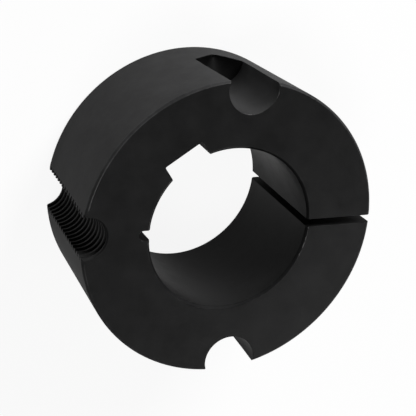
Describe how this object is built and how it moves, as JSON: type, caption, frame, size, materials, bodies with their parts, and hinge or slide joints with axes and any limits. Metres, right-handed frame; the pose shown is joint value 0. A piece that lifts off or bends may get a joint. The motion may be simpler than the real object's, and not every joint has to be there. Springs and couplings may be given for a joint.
{
  "type": "taper bush",
  "caption": "Split tapered clamping bush with a keyed bore, blind locking pockets and a threaded half hole for its release screw.",
  "frame": {"origin": "on the bore axis in the plane of the small end, which the bush stands on", "axes": "+Z along the bore axis from the small end to the large end with the screw holes, +X through the slit"},
  "size_m": [0.0695, 0.0696, 0.0318],
  "materials": {
    "black_finished_iron": "smooth satin black oxide over machined iron"
  },
  "bodies": {
    "root": {"taper_bush": "black_finished_iron"}
  },
  "joints": []
}
